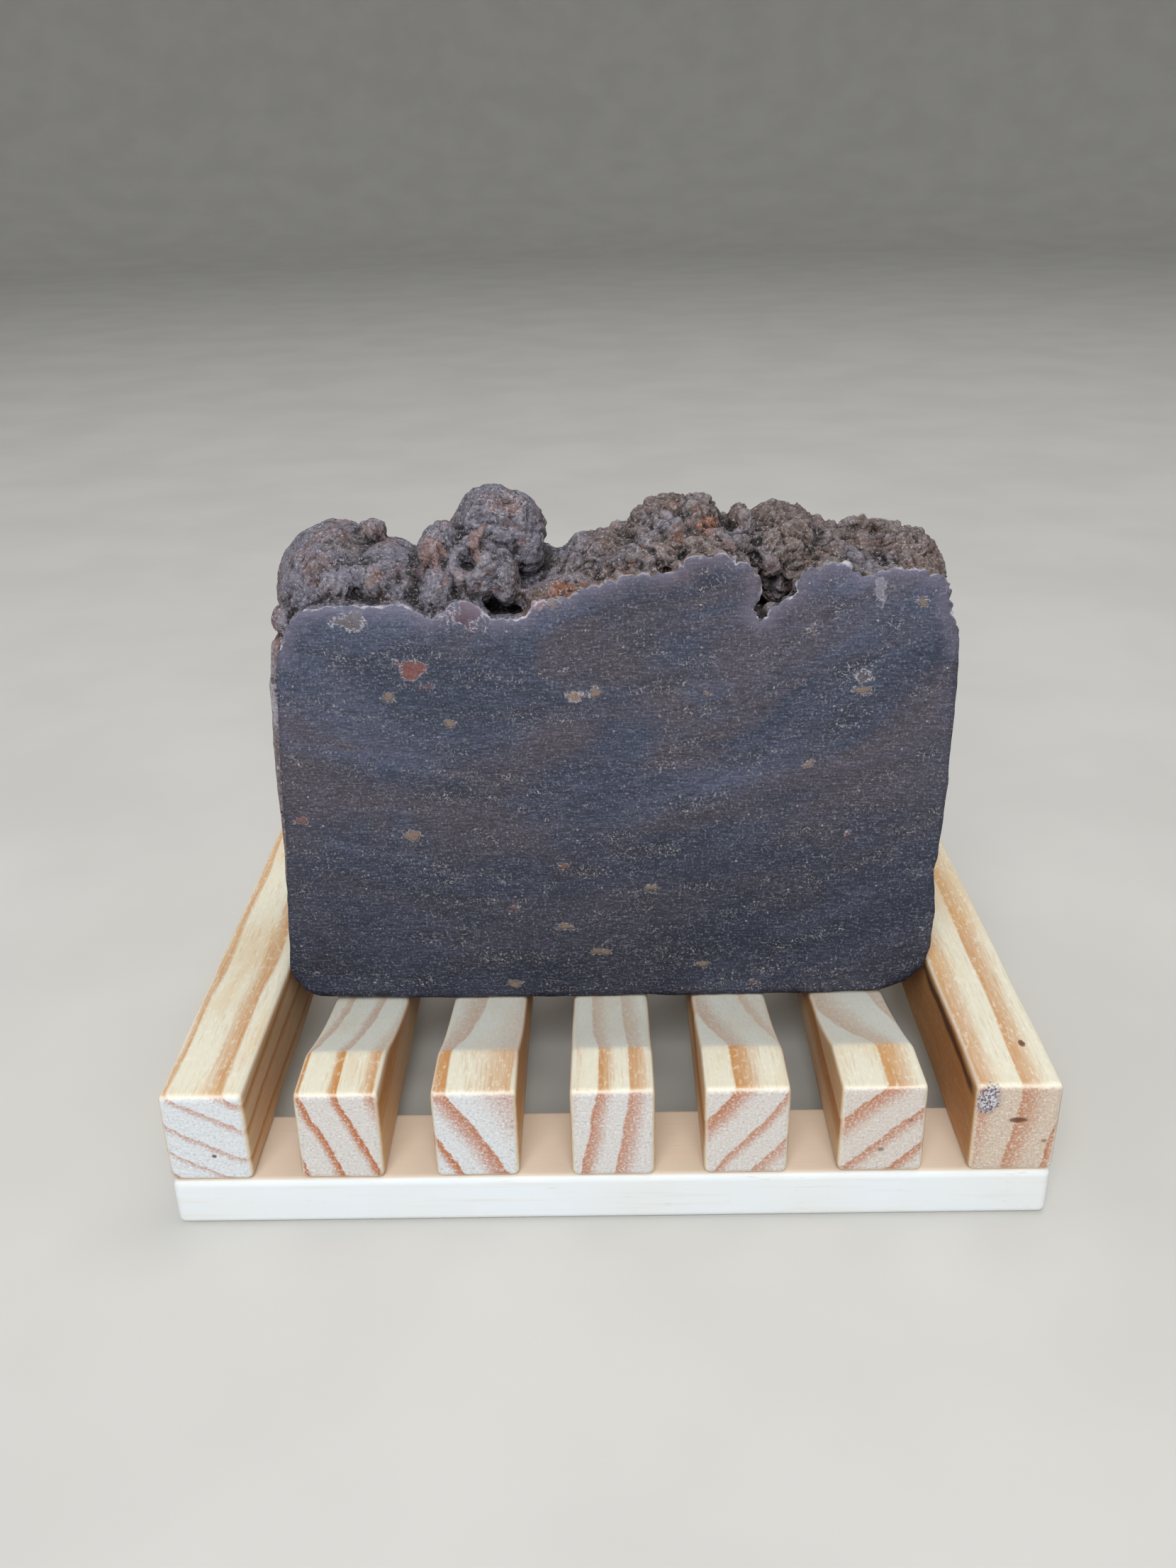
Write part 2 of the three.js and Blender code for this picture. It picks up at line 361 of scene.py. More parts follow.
def pine(name, centre, lean, bands, seed, tilt, warmth, scooped, marks):
    f = Finish(name)
    angle = math.radians(lean)
    across = Vector((-math.sin(angle), 0, math.cos(angle)))
    x, y, z = f.axes(f.spot)
    nx, ny, nz = f.axes(f.facing)
    offset = Vector(centre) / MM
    shifted = f.stretch(f.spot, move=(seed * 31.0, seed * 17.0, seed * 11.0))
    wander = f.streaks(shifted, (0.10, 0.02, 0.10), 1.0)
    ripple = f.streaks(shifted, (0.9, 0.05, 0.9), 2.0)
    u = (x - offset.x) * across.x + (z - offset.z) * across.z
    u = u + (y + 40) * tilt + (wander - 0.5) * 1.6 + (ripple - 0.5) * 0.7
    late = f.ramp(u / (2 * RING_REACH) + 0.5, ring_stops(bands, RING_REACH))

    end_on = f.ease(ny.size(), 0.55, 0.9)
    flank = f.ease(nx.size(), 0.6, 0.95)
    fibres = f.streaks(shifted, (3.6, 0.20, 3.6), 4.0, 0.65)
    fleck = f.streaks(shifted, (2.2, 0.9, 2.2), 2.0, 0.6)
    pores = f.cloud(shifted, 3.0, 3.0, 0.7)
    blotch = f.streaks(shifted, (0.16, 0.05, 0.16), 2.0)

    long_late = f.ease(late + (fibres - 0.5) * 0.45, 0.02, 0.95)
    side = f.mix(long_late, EARLY_WOOD, LATE_WOOD)
    side = f.mix(f.ease(blotch, 0.42, 0.70) * 0.4, side, paint(218, 176, 118))
    # The sides are painted a darker orange: partly their own sawn tone, partly painted shade and
    # warm bounce light from between the slats.
    side = f.mix(flank * 0.55, side, FLANK_TONE_AND_SHADE)
    side = f.mix(flank * long_late * 0.6, side, FLANK_LATE_TONE_AND_SHADE)
    side = f.mix(f.ease(fibres, 0.5, 0.7) * 0.32, side, paint(188, 144, 96))
    side = f.mix(f.ease(fleck, 0.52, 0.7) * (0.35 - flank * 0.25), side, paint(246, 240, 222))
    if scooped:
        # The scoop's hollow is mixed towards a blue-grey: partly soap residue, partly painted shade
        # from the bar and from the slope turned away from the light.
        dip = f.ease(y.size(), SCOOP_END + 0.4, SCOOP_END - 0.6) * f.ease(nz, 0.6, 0.9)
        side = f.mix(dip * f.ease(pores, 0.3, 0.7, 0.25, 0.65), side, SCOOP_RESIDUE_AND_SHADE)
    end_late = f.ease(late + (pores - 0.5) * 0.45, 0.05, 1.05)
    end_early = tuple(a + (b - a) * warmth for a, b in zip(END_EARLY, END_WARM))
    end = f.mix(end_late, end_early, END_LATE)
    end = f.mix(f.ease(pores, 0.54, 0.68) * 0.4, end, paint(150, 128, 116))
    end = f.mix(f.ease(pores, 0.50, 0.32) * 0.5, end, paint(246, 248, 252))
    colour = f.mix(end_on, side, end)
    # Rounded edges, where no face looks straight along an axis, are painted a lighter cream: a
    # painted highlight.
    edge = f.ease(nx.size().most(nz.size()).most(ny.size()), 0.97, 0.75)
    colour = f.mix(edge * 0.5, colour, EDGE_HIGHLIGHT_CREAM)
    for middle, half, strength in marks:
        blot = f.ease(f.near(middle, half) + (pores - 0.5) * 1.2, 1.1, 0.6)
        colour = f.mix(blot * strength, colour, RESIN)
    if name.endswith("outer_right"):
        colour = knot(f, colour, pores, x, y, z)

    height = fibres * 0.5 - late * 0.25 + pores * (0.25 + 1.2 * end_on) + fleck * 0.25
    return f.shade(Base_Color=colour, Roughness=f.ease(fibres, 0.2, 0.8, 0.5, 0.72),
                   Specular_IOR_Level=0.3, Normal=f.bump(height, 0.14, 0.8))


def knot(f, colour, pores, x, y, z):
    """A sawn-through side branch: a dark seam along the inner top edge of the
    last slat, ending in a torn grey knot on its front corner."""
    low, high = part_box("slat_outer_right")
    left, top, front = low.x / MM, high.z / MM, low.y / MM
    wave = f.streaks(f.spot, (0.2, 0.12, 0.2), 3.0)
    band = (z - (top - SEAM_DROP) + (wave - 0.5) * 2.0).size()
    seam = f.ease(band, 1.15, 0.3) * f.ease(x, left + 0.9, left + 0.3)
    seam = seam * f.ease(y, -4, -14) * f.ease(y, front + 0.5, front + 3)
    colour = f.mix(seam * 0.85, colour, paint(74, 38, 26))
    reach = f.near((left + KNOT_HALF[0], front, top - 2.2), KNOT_HALF)
    torn = f.ease(reach + (pores - 0.5) * 1.6 + (wave - 0.5) * 1.5, 1.1, 0.6)
    fray = f.mix(f.ease(pores, 0.42, 0.58), paint(84, 66, 84), paint(214, 218, 226))
    return f.mix(torn * 0.9, colour, fray)


# %% [markdown]
# ## The slats
#
# A slat is a stick that a sanding drum has scooped: flat for a finger's width
# at each end and hollow in between. It starts as a box. Planes cut it across at
# even steps, the new top corners drop onto the drum's circle, and one bevel
# softens all of its long and end edges at once. A slow noise then takes away
# the machine-perfect straightness.

# %% Slat shapes
SCOOP_DEPTH = 6.2
LIP = 9.0
LIP_MIDDLE = 36
RIDGE_SOFT = 0.25
RIDGE_CUTS = (-1.2, -0.5, 0, 0.5, 1.2)  # where planes cut, from the ridge
SLAT_EASE = 0.95
SLAT_UNEVEN, SLAT_UNEVEN_SPAN = 0.16, 14
RAIL_TOP = 6.92
SLAT_STEPS = 26

scooped_names = ["slat_scooped_%d" % n for n in range(1, 6)]
slat_names = ["slat_outer_left", *scooped_names, "slat_outer_right"]
half_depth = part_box(slat_names[0])[1].y / MM
scoop_half = half_depth - LIP
drum = (scoop_half ** 2 + SCOOP_DEPTH ** 2) / (2 * SCOOP_DEPTH)
print("drum radius %.1f mm, hollow %.1f mm long" % (drum, 2 * scoop_half))


def scoop_drop(y):
    """How far the top is sanded down at y. The ridge is softly broken, and the
    hair that the far ends stand proud is trimmed off by the slat's box."""
    inside = math.sqrt(max(0.0, drum ** 2 - y ** 2)) - drum + SCOOP_DEPTH
    proud = 0.5 * RIDGE_SOFT if abs(y) > LIP_MIDDLE else 0.0
    return 0.5 * (inside + math.sqrt(inside ** 2 + RIDGE_SOFT ** 2)) - proud


def slat_mesh(name, scooped, seed):
    low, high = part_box(name)
    low.z = RAIL_TOP * MM
    bm = block(low, high)
    ridge = [s * (scoop_half + d) for s in (-1, 1) for d in RIDGE_CUTS]
    even = [scoop_half * (2 * k / SLAT_STEPS - 1) for k in range(1, SLAT_STEPS)]
    for y in sorted(even + ridge):
        cut_across(bm, (0, y * MM, 0), (0, 1, 0))
    if scooped:
        for v in bm.verts:
            if v.co.z > high.z - MM:
                v.co.z -= scoop_drop(v.co.y / MM) * MM
    bmesh.ops.bevel(bm, geom=corners_of(bm), offset=SLAT_EASE * MM, affect="EDGES",
                    segments=4, profile=0.5, material=-1, clamp_overlap=True)
    unsettle(bm, low, high, SLAT_UNEVEN * MM, SLAT_UNEVEN_SPAN * MM, seed)
    return bm


# %% [markdown]
# Each slat came from another part of a board, so its rings lean their own way.
# The lean is the direction of the bands on the front end, in degrees from
# level, and each band is where it crosses the middle, how wide it is and how
# dark, so that no two slats look like the same stick.

# %% Slats, each with its own rings
# Each is: lean, bands, how fast the bands drift along the slat, warmth of the end.
SLAT_RINGS = {
    "slat_outer_left": (-30, [
        (-7.6, 1.2, 0.8), (-4.5, 1.0, 0.6), (-0.9, 1.1, 0.65), (3.1, 1.1, 0.65),
        (6.4, 1.4, 0.7)], 0.004, 0.0),
    "slat_scooped_1": (-69, [
        (-6.4, 1.3, 1.0), (-2.3, 1.3, 1.0), (1.8, 1.3, 1.0), (5.7, 1.8, 0.75)], -0.004, 0.35),
    "slat_scooped_2": (-60, [
        (-5.3, 1.3, 1.0), (-1.3, 3.0, 0.85), (4.8, 5.0, 0.6)], 0.004, 0.1),
    "slat_scooped_3": (81, [
        (-2.4, 2.6, 0.75), (1.8, 2.2, 0.8), (5.0, 0.8, 0.35)], 0.002, 0.3),
    "slat_scooped_4": (53, [
        (-5.4, 2.4, 0.7), (-1.1, 1.4, 0.75), (3.6, 2.6, 0.85)], -0.004, 0.4),
    "slat_scooped_5": (43, [
        (-5.6, 1.8, 0.8), (-1.7, 1.9, 0.75), (3.2, 2.9, 0.8)], 0.006, 0.5),
    "slat_outer_right": (82, [
        (-4.9, 1.0, 0.85), (-1.1, 3.2, 0.7), (4.6, 3.4, 0.7)], 0.003, 0.8),
}
# Resin marks: slat, how far right of its left side, height, y, half sizes, strength.
SLAT_MARKS = [
    ("slat_outer_left", 6.0, 10.9, -40.0, (0.35, 0.6, 0.3), 0.9),
    ("slat_scooped_5", 5.2, 10.6, -40.0, (0.45, 0.6, 0.35), 0.6),
    ("slat_scooped_5", 8.6, 15.0, -40.0, (0.35, 0.6, 0.3), 0.5),
    ("slat_outer_right", 5.4, 14.8, -40.0, (1.3, 0.6, 0.45), 0.85),
    ("slat_outer_right", 7.6, 20.0, -31.5, (0.45, 0.8, 0.5), 0.9),
    ("slat_outer_right", 8.9, 11.6, -40.0, (0.4, 0.6, 0.3), 0.6),
]

for seed, name in enumerate(slat_names, 1):
    scooped = "scooped" in name
    low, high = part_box(name)
    lean, bands, tilt, warmth = SLAT_RINGS[name]
    marks = [((low.x / MM + right, y, z), half, strength)
             for slat, right, z, y, half, strength in SLAT_MARKS if slat == name]
    finish = pine("pine_" + name, (low + high) / 2, lean, bands, seed, tilt, warmth,
                  scooped, marks)
    set_down("wood_" + name, slat_mesh(name, scooped, seed), [finish], "dish", [name])

# %% [markdown]
# ## The rails
#
# The two rails are of a whiter, finer wood. They are plain strips, but seven
# staples are driven up through each, and a staple's crown sits in a shallow
# slot that it pressed for itself. The slots are cut by crossing planes round
# each crown and pushing the little rectangle between them up into the wood.

# %% The pale wood finish
def pale_wood(name):
    f = Finish(name)
    *_, nz = f.axes(f.facing)
    flecks = f.streaks(f.spot, (0.35, 3.2, 3.2), 3.0, 0.6)
    lines = f.streaks(f.spot, (0.05, 1.3, 1.3), 3.0, 0.55)
    slow = f.cloud(f.spot, 0.05, 2.0)
    sanding = f.cloud(f.stretch(f.spot, turn=(0, 0, 32), scale=(0.25, 4.0, 1.0)), 1.0, 2.0)
    colour = f.mix(f.ease(slow, 0.3, 0.7), paint(232, 237, 242), paint(230, 232, 232))
    colour = f.mix(f.ease(lines, 0.5, 0.8) * 0.35, colour, paint(222, 206, 178))
    colour = f.mix(f.ease(flecks, 0.62, 0.78) * 0.5, colour, paint(206, 184, 150))
    # Faces that look up are painted a darker warm beige: painted shade from the slats and the bar
    # over the rail tops.
    colour = f.mix(f.ease(nz, 0.7, 0.95) * 0.75, colour, paint(212, 184, 152))
    height = flecks * 0.4 + lines * 0.4 + sanding * f.ease(nz, 0.8, 0.95) * 0.5
    return f.shade(Base_Color=colour, Roughness=f.ease(flecks, 0.3, 0.8, 0.5, 0.68),
                   Specular_IOR_Level=0.35, Normal=f.bump(height, 0.05, 0.7))


# %% Rail shapes
RAIL_EASE = 1.0
SLOT_DEPTH = 1.45
SLOT_ROOM = 0.12


def rail_mesh(name, crowns):
    low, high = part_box(name)
    bm = block(low, high)
    room = Vector((SLOT_ROOM, SLOT_ROOM, 0)) * MM
    slots = []
    for crown in crowns:
        a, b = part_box(crown)
        slots.append((a - room, b + room))
    for x in sorted({round(v.x, 6) for slot in slots for v in slot}):
        cut_across(bm, (x, 0, 0), (1, 0, 0))
    bmesh.ops.bevel(bm, geom=corners_of(bm), offset=RAIL_EASE * MM, affect="EDGES",
                    segments=4, profile=0.5, material=-1, clamp_overlap=True)
    under = [f for f in bm.faces if f.normal.z < -0.99]
    for y in sorted({round(v.y, 6) for v in slots[0]}):
        geom = list(dict.fromkeys(part for f in under for part in (f, *f.edges, *f.verts)))
        bmesh.ops.bisect_plane(bm, geom=geom, plane_co=(0, y, 0), plane_no=(0, 1, 0), dist=1e-7)
        under = [f for f in bm.faces if f.normal.z < -0.99]

    def in_a_slot(face):
        spot = face.calc_center_median()
        return any(a.x < spot.x < b.x and a.y < spot.y < b.y for a, b in slots)

    pressed = [f for f in under if in_a_slot(f)]
    grown = bmesh.ops.extrude_face_region(bm, geom=pressed)["geom"]
    bmesh.ops.delete(bm, geom=[f for f in pressed if f.is_valid], context="FACES")
    raised = [v for v in grown if isinstance(v, bmesh.types.BMVert)]
    bmesh.ops.translate(bm, vec=(0, 0, SLOT_DEPTH * MM), verts=raised)
    bmesh.ops.recalc_face_normals(bm, faces=bm.faces)
    print(name, "slots pressed:", len(pressed))
    return bm


# %% Rails
pale = pale_wood("pale_wood")
for side in ("front", "rear"):
    crowns = ["staple_%s_%d" % (side, n) for n in range(1, 8)]
    set_down("wood_rail_" + side, rail_mesh("rail_" + side, crowns), [pale], "dish",
             ["rail_" + side])

# %% [markdown]
# ## The staples
#
# The staples are already the right shape in the CAD model, and only their
# crowns show, under the rails. They keep their own mesh and get a galvanised
# finish: bright zinc with dull spangles and drawn-wire scratches.

# %% Galvanised wire
def galvanised(name):
    f = Finish(name)
    spangle = f.cells(f.spot, 1.4, out="Color")
    scratch = f.streaks(f.spot, (0.5, 9, 9), 3.0)
    tone, *_ = f.axes(spangle)
    colour = f.mix(tone * 0.6, paint(196, 198, 200), paint(150, 154, 158))
    rough = f.ease(scratch, 0.3, 0.7, 0.28, 0.5) + tone * 0.1
    return f.shade(Base_Color=colour, Metallic=1.0, Roughness=rough,
                   Normal=f.bump(scratch, 0.02, 0.6))


wire = galvanised("galvanised_wire")
staples = [node for name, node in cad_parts.items() if name.startswith("staple_")]
for staple in staples:
    for slot in staple.material_slots:
        slot.material = wire
print("staples finished:", len(staples))

# %% [markdown]
# ## The bar's outline
#
# A loaf of soap is cut with a wire, so the bar has two flat faces with the same
# rough outline: nearly straight sides from the mould, rounded bottom corners,
# and a torn upper edge with one deep notch. The outline is walked round in
# millimetres, x to the right and z up, and both faces and the core of the bar
# are extruded from it.

# %% Outline
FOOT_AND_RIGHT = [
    (-44.1, 20.3), (-43.6, 18.3), (-42.3, 16.6), (-40.5, 15.7), (-25.7, 15.15), (-0.6, 15.0),
    (24.3, 15.0), (38.3, 15.2), (41.9, 16.8), (44.0, 19.1), (44.8, 22.1), (44.9, 27),
    (44.6, 31), (44.2, 34.2), (44.6, 37), (44.9, 44), (44.9, 58), (44.9, 63.5), (44.6, 67.2),
    (44.4, 68.7), (43.6, 69.8), (43.3, 72.4), (42.6, 74.2), (41.2, 75.3),
]
TORN_EDGE = [
    (38.8, 76.0), (36.4, 76.2), (33.7, 75.7), (31.6, 75.3), (31.2, 76.4), (29.8, 77.2),
    (26.8, 76.9), (25.2, 76.0), (24.2, 74.6), (23.6, 72.8), (21.9, 71.9), (20.5, 71.0),
    (19.8, 68.0), (19.4, 71.2), (19.8, 73.8), (19.4, 75.3), (18.2, 77.2), (16.2, 78.1),
    (13.5, 78.3), (11.5, 77.9), (9.4, 76.9), (8.1, 75.6), (5.0, 76.2), (2.3, 76.0),
    (-1.8, 74.3), (-3.9, 73.5), (-6.5, 72.9), (-8.2, 72.9), (-9.2, 71.0), (-10.6, 70.6),
    (-13.5, 70.6), (-14.3, 71.9), (-16.8, 73.2), (-19.0, 72.4), (-19.6, 71.2), (-20.8, 70.8),
    (-22.8, 71.8), (-24.5, 72.8), (-27.5, 72.4), (-30, 72.9), (-32.3, 72.9), (-36.4, 72.3),
    (-38.1, 71.2), (-39.2, 69.5),
]
LEFT_SIDE = [
    (-40.1, 67.2), (-40.8, 64.6), (-41.6, 53.8), (-42.1, 46.8), (-42.4, 41), (-43.2, 32),
    (-43.8, 23.4),
]
CORE_TOP = [
    (43, 70), (38, 71), (31, 71), (26, 69.5), (21, 69), (14, 72), (4, 71), (-6, 69),
    (-14, 69), (-26, 69), (-36, 69), (-41.5, 67.5),
]
BULGED_LEFT = [
    (-42.6, 62), (-42.9, 53.8), (-43.2, 46.8), (-43.4, 41), (-43.8, 32), (-44.1, 23.4),
]
HALF_THICK = 12.0
NOTCH = (18.5, 22.5)
REAR_SEED, REAR_UNEVEN, REAR_SPAN = 5, 1.6, 0.13


def rear_edge():
    """The torn edge of the far cut: the notch has ended, and the rest wanders."""
    spots = [(x, z) for x, z in TORN_EDGE if not NOTCH[0] < x < NOTCH[1]]
    return [(x, z + REAR_UNEVEN * noise.noise(Vector((x * REAR_SPAN, REAR_SEED, 0))))
            for x, z in spots]


def add_slab(bm, outline, near, far):
    """A plate of soap with this outline, from near to far."""
    ring = [bm.verts.new((x * MM, near * MM, z * MM)) for x, z in outline]
    face = bm.faces.new(ring)
    grown = bmesh.ops.extrude_face_region(bm, geom=[face], use_keep_orig=True)["geom"]
    moved = [v for v in grown if isinstance(v, bmesh.types.BMVert)]
    bmesh.ops.translate(bm, vec=(0, (far - near) * MM, 0), verts=moved)


# %% [markdown]
# ## The crown: torn and folded lumps
#
# When the thick batter is spooned into the loaf it stands up in folded
# dollops. Each dollop here is a ball, squashed and leaned to its place, whose
# skin is pushed in and out along slow, curling contours so that it looks rolled
# over on itself. Overlapping balls are not yet a surface: a voxel remesh melts
# them and the bar's slabs into one closed skin.

# %% Dollops of the crown
# Each is: middle, half sizes, lean about the y axis in degrees.
DOLLOPS = {
    "left_shoulder": ((-34.9, -0.4, 72.2), (6.8, 9.6, 8.0), 15),
    "left_back": ((-36.4, 5.5, 68.5), (5.6, 7.0, 7.0), 0),
    "left_fold": ((-26.6, -1.6, 71.3), (5.6, 8.6, 7.0), -20),
    "left_lip": ((-32.6, -8.2, 74.6), (3.6, 2.3, 1.9), -28),
    "left_lip_end": ((-28.6, -8.2, 74.6), (2.0, 2.2, 1.9), 30),
    "left_ear": ((-29.5, 0.8, 78.9), (2.0, 2.4, 1.6), -25),
    "left_ledge": ((-40.0, -7.6, 69.8), (1.7, 3.2, 1.9), 0),
    "column": ((-20.7, -3.2, 75.2), (3.2, 5.2, 5.6), 8),
    "column_wart": ((-20.9, -6.8, 78.0), (1.7, 1.7, 1.9), 0),
    "column_foot": ((-20.5, -8.6, 73.2), (2.2, 2.4, 3.4), 5),
    "ball": ((-13.5, 1.0, 78.1), (5.5, 6.6, 6.2), 0),
    "ball_root": ((-12.0, 3.6, 71.4), (7.5, 7.0, 5.2), 0),
    "ball_fold": ((-9.7, 0.4, 78.2), (2.7, 5.4, 5.3), -12),
    "knob": ((-15.6, -6.6, 75.2), (4.1, 3.9, 4.2), 10),
    "knob_side": ((-12.2, -6.2, 74.4), (2.2, 3.4, 3.8), -15),
    "valley": ((1.2, 2.6, 71.0), (9.8, 10.5, 6.5), -15),
    "valley_lip": ((-4.0, -7.4, 71.3), (6.0, 3.4, 3.4), -6),
    "ridge": ((10.0, 1.6, 75.2), (7.4, 9.6, 7.0), -12),
    "ridge_top": ((12.6, 0.4, 79.6), (2.9, 5.4, 3.2), 0),
    "ridge_front": ((14.3, -6.4, 76.4), (4.6, 4.2, 3.6), -5),
    "ridge_step": ((6.0, -5.6, 75.6), (5.0, 3.8, 3.0), -18),
    "twist_left": ((18.3, -1.4, 76.0), (2.1, 6.2, 5.9), 0),
    "twist": ((23.6, 1.6, 74.8), (6.0, 9.0, 6.2), 12),
    "twist_front": ((21.6, -5.2, 76.0), (2.4, 3.0, 3.2), 10),
    "twist_low": ((28.5, 1.2, 72.8), (5.6, 9.0, 5.9), 14),
    "right_saddle": ((33.5, 0.6, 71.6), (4.6, 9.5, 5.2), 0),
    "right_shoulder": ((39.2, -0.8, 71.6), (5.3, 10.0, 6.4), 8),
}
FLAKE = ((-15.1, -8.6, 80.0), (0.75, 1.1, 2.5), 36)
FOLD_DEPTH, FOLD_SPAN, FOLD_TURNS = 0.55, 7.5, 5
SWELL_DEPTH, SWELL_SPAN = 0.55, 4
FLAKE_SEED = 40
BALL_ROUNDS = 4


def fold(place, span, turns, seed):
    """0 in a crease to 1 on a roll, along the contours of a slow noise."""
    slow = noise.noise(place / (span * MM) + Vector((seed, seed * 0.7, 0)))
    slow += 0.35 * noise.noise(place / (span * 0.4 * MM) + Vector((0, seed, 3)))
    return abs(math.sin(math.pi * turns * slow)) ** 0.7


def add_dollop(bm, middle, half, lean, seed):
    made = bmesh.ops.create_icosphere(bm, subdivisions=BALL_ROUNDS, radius=1)["verts"]
    turn = Matrix.Rotation(math.radians(lean), 3, "Y")
    half, middle = Vector(half) * MM, Vector(middle) * MM
    for v in made:
        outward = Vector(a * b for a, b in zip(v.co, half))
        rolled = fold(outward, FOLD_SPAN, FOLD_TURNS, seed) - 0.6
        swell = noise.noise(outward / (SWELL_SPAN * MM) + Vector((seed * 3.3, 1, 7)))
        outward += v.co * (rolled * FOLD_DEPTH + swell * SWELL_DEPTH) * MM
        v.co = middle + turn @ outward


# %% Melt slabs and dollops together
VOXEL = 0.39
SPARE = 2.2  # soap beyond each cut, deeper than any crease
SLAB_IN, CORE_IN = 2.6, 2  # how far in from a cut a slab ends and the core starts
CORE_SHARES = 17  # corners of the foot and the right side that the core keeps

bm = bmesh.new()
front_outline = FOOT_AND_RIGHT + TORN_EDGE + LEFT_SIDE
rear_outline = FOOT_AND_RIGHT + rear_edge() + LEFT_SIDE
core_outline = FOOT_AND_RIGHT[:CORE_SHARES] + CORE_TOP + BULGED_LEFT
add_slab(bm, front_outline, -HALF_THICK - SPARE, -HALF_THICK + SLAB_IN)
add_slab(bm, core_outline, -HALF_THICK + CORE_IN, HALF_THICK - CORE_IN)
add_slab(bm, rear_outline, HALF_THICK - SLAB_IN, HALF_THICK + SPARE)
for seed, (middle, half, lean) in enumerate(DOLLOPS.values()):
    add_dollop(bm, middle, half, lean, seed)
add_dollop(bm, *FLAKE, FLAKE_SEED)
bmesh.ops.recalc_face_normals(bm, faces=bm.faces)

rough = make_object("bar_rough", bm)
melt = rough.modifiers.new("melt", "REMESH")
melt.mode, melt.voxel_size, melt.adaptivity = "VOXEL", VOXEL * MM, 0.0
evaluated = rough.evaluated_get(bpy.context.evaluated_depsgraph_get())
bar = bmesh.new()
bar.from_mesh(evaluated.to_mesh())
evaluated.to_mesh_clear()
bpy.data.meshes.remove(rough.data)
print("melted bar", len(bar.verts), "vertices")

# %% [markdown]
# ## Weathering the skin
#
# The remesh gives one smooth skin, and now it is worked over like clay: the
# crown gets creases that follow curling contours and a crumbly grain on top,
# and the moulded sides get only shallow dimples. After that the wire cut is
# made, by slicing both ends flat and closing the holes.

# %% Creases, crumbs and dimples
CROWN_FROM, CROWN_FULL = 66.0, 71.0
CREASE_SPAN, CREASE_TURNS, CREASE_SEED = 8.0, 6, 2.5
BURST_BUBBLE = Vector((-16.6, -10.0, 77.4)) * MM
BURST_DEPTH, BURST_SPAN = 2.2, 1.5
TOP_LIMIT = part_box("soap_bar")[1].z


def clamp01(v):
    return max(0.0, min(1.0, v))


bar.normal_update()
for v in bar.verts:
    p = v.co.copy()
    crown = clamp01((p.z / MM - CROWN_FROM) / (CROWN_FULL - CROWN_FROM))
    crumbly = clamp01(0.5 + 2.5 * noise.noise(p / (11 * MM) + Vector((4, 2, 9))))
    swirled = p + noise.noise_vector(p / (4 * MM)) * 1.5 * MM
    crease = fold(swirled, CREASE_SPAN, CREASE_TURNS, CREASE_SEED) - 0.7
    crumbs = noise.fractal(p / (2.6 * MM), 0.7, 2.2, 3)
    torn = 0.25 + 0.75 * clamp01((p.x / MM + 8) / 6)
    bent = p + noise.noise_vector(p / (3 * MM)) * MM
    nearest, second = noise.voronoi(bent / (3.4 * MM))[0][:2]
    crack = clamp01(1 - 4 * (second - nearest)) * torn
    dimple = noise.noise(p / (5 * MM)) * 0.22 + noise.noise(p / (1.8 * MM)) * 0.10
    folded = crease * (0.30 + 0.30 * torn)
    crumbled = crumbs * (0.12 + 0.42 * crumbly * torn)
    push = crown * (folded + crumbled - crack * 0.5) + (1 - crown) * dimple
    push -= BURST_DEPTH * clamp01(1.3 - (p - BURST_BUBBLE).length / (BURST_SPAN * MM))
    v.co += v.normal * push * MM
    v.co.z = min(v.co.z, TOP_LIMIT)
print("bar weathered:", len(bar.verts), "vertices")

# %% The wire cut
FACE_STEP = 0.9
RIM_ROOM = 0.45  # in steps, from net to rim
CUT_WAVE, CUT_WAVE_SPAN = 0.10, 9


def slice_flat(bm, y, outward):
    """Cuts the bar at y and closes it with a net of even triangles."""
    cut = bmesh.ops.bisect_plane(
        bm, geom=bm.verts[:] + bm.edges[:] + bm.faces[:], plane_co=(0, y * MM, 0),
        plane_no=(0, outward, 0), clear_outer=True, dist=1e-6)["geom_cut"]
    rim = [e for e in cut if isinstance(e, bmesh.types.BMEdge)]
    corners = list(dict.fromkeys(v for e in rim for v in e.verts))
    index = {v: i for i, v in enumerate(corners)}
    flat = [Vector((v.co.x, v.co.z)) for v in corners]
    near = KDTree(len(flat))
    for i, spot in enumerate(flat):
        near.insert(spot.to_3d(), i)
    near.balance()
    step = FACE_STEP * MM
    x_low, x_high = min(p.x for p in flat), max(p.x for p in flat)
    z_low, z_high = min(p.y for p in flat), max(p.y for p in flat)
    for i in range(int((x_high - x_low) / step)):
        for k in range(int((z_high - z_low) / step)):
            spot = Vector((x_low + i * step, z_low + k * step))
            if near.find(spot.to_3d())[2] > RIM_ROOM * step:
                flat.append(spot)
    pairs = [(index[e.verts[0]], index[e.verts[1]]) for e in rim]
    net, _, triangles, came_from, _, _ = delaunay_2d_cdt(flat, pairs, [], 1, 1e-9)
    placed = []
    for spot, source in zip(net, came_from):
        if source and source[0] < len(corners):
            placed.append(corners[source[0]])
        else:
            ripple = noise.noise(Vector((spot.x, y, spot.y * 3)) / (CUT_WAVE_SPAN * MM))
            wave = CUT_WAVE * MM * (0.5 + 0.5 * ripple)
            placed.append(bm.verts.new((spot.x, y * MM - outward * wave, spot.y)))
    for triangle in triangles:
        ring = [placed[i] for i in (triangle if outward < 0 else reversed(triangle))]
        bm.faces.new(ring).material_index = 1
    loose = [v for v in placed if not v.link_faces]
    bmesh.ops.delete(bm, geom=loose, context="VERTS")
    return len(rim)


